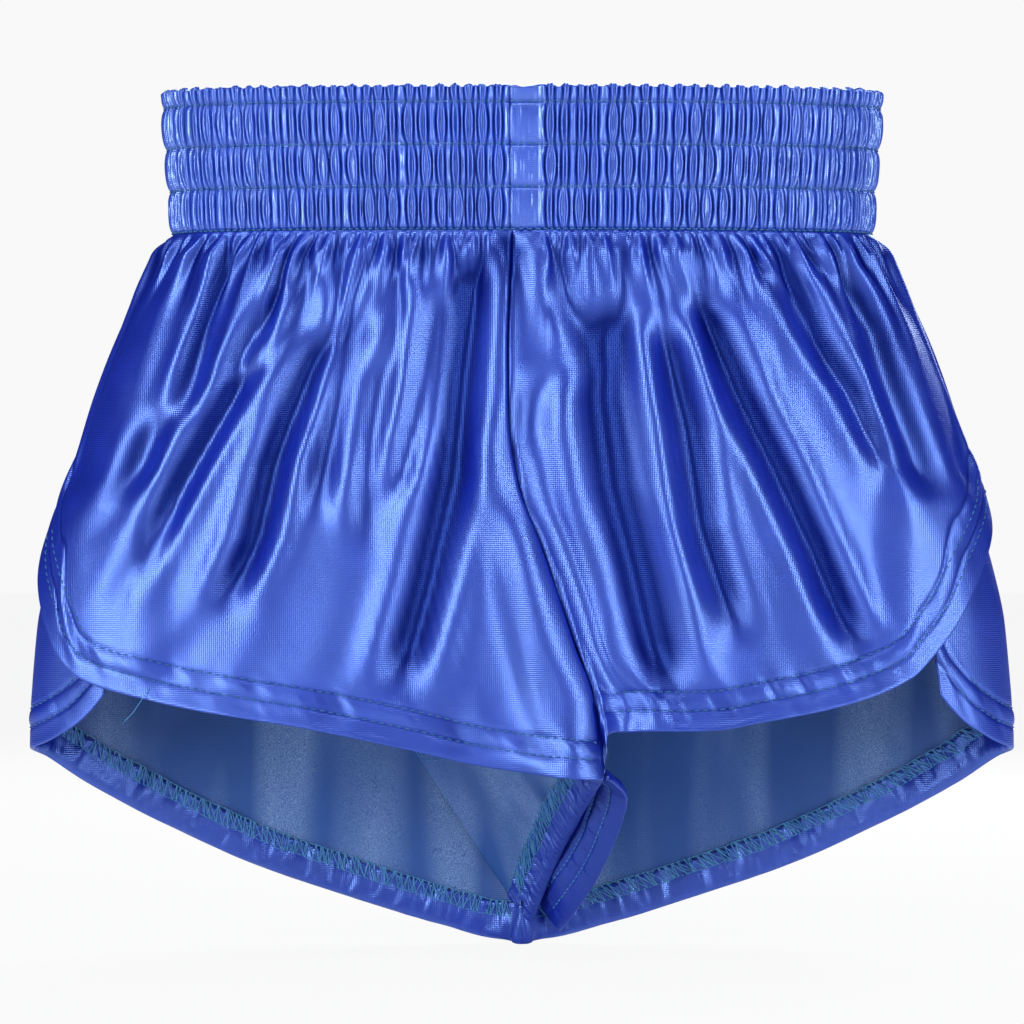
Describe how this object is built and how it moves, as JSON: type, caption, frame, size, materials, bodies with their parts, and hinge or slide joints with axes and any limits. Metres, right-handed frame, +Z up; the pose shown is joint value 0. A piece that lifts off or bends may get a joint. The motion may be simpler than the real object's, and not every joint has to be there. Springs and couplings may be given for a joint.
{
  "type": "boxing shorts",
  "caption": "Satin boxing shorts with a wide shirred elastic waistband and rounded, wrap-over split sides; worn round the waist and thighs.",
  "frame": {"origin": "on the ground under the middle of the waist opening, at the height of the lowest point of the back leg hems", "axes": "+Z up, from the hems to the waist; +X towards the wearer's left; -Y out of the front of the garment"},
  "size_m": [0.3494, 0.104, 0.305],
  "materials": {
    "shell_fabric": "metallic satin, shiny side out",
    "lining_side": "matte wrong side of the satin",
    "band_fabric": "metallic satin, gathered",
    "elastic": "woven knit elastic",
    "stitching": "spun polyester thread",
    "overlock": "textured overlock thread",
    "seam_fabric": "folded and overlocked seam allowance"
  },
  "bodies": {
    "seat": {"back_hem_overlock_left": "overlock", "back_hem_overlock_right": "overlock", "back_hem_thread_inner_left": "stitching", "back_hem_thread_inner_right": "stitching", "back_hem_thread_outer_left": "stitching", "back_hem_thread_outer_right": "stitching", "back_panel_left": "shell_fabric", "back_panel_right": "shell_fabric", "back_rise_seam": "seam_fabric", "crotch_seam": "seam_fabric", "elastic_back": "elastic", "shirring_thread_1_back": "stitching", "shirring_thread_2_back": "stitching", "shirring_thread_3_back": "stitching", "shirring_thread_4_back": "stitching", "side_seam_left": "seam_fabric", "side_seam_right": "seam_fabric", "waistband_casing_back": "band_fabric"},
    "front": {"elastic_front": "elastic", "front_panel_left": "shell_fabric", "front_panel_right": "shell_fabric", "front_rise_seam": "seam_fabric", "shirring_thread_1_front": "stitching", "shirring_thread_2_front": "stitching", "shirring_thread_3_front": "stitching", "shirring_thread_4_front": "stitching", "waistband_casing_front": "band_fabric"},
    "front_flap_left": {"front_flap_left": "shell_fabric", "front_hem_overlock_left": "overlock", "front_hem_thread_inner_left": "stitching", "front_hem_thread_outer_left": "stitching"},
    "front_flap_right": {"front_flap_right": "shell_fabric", "front_hem_overlock_right": "overlock", "front_hem_thread_inner_right": "stitching", "front_hem_thread_outer_right": "stitching"}
  },
  "joints": [
    {"name": "waist_stretch", "type": "slide", "parent": "seat", "child": "front", "axis": [0, -1, 0], "range_m": [0, 0.045]},
    {"name": "left_split_lift", "type": "hinge", "parent": "front", "child": "front_flap_left", "pos_m": [0.0868, -0.042, 0.1163], "axis": [-0.8492, -0.251, -0.4646], "range_deg": [0, 30]},
    {"name": "right_split_lift", "type": "hinge", "parent": "front", "child": "front_flap_right", "pos_m": [-0.0868, -0.042, 0.1163], "axis": [-0.8492, 0.251, 0.4646], "range_deg": [0, 30]}
  ]
}
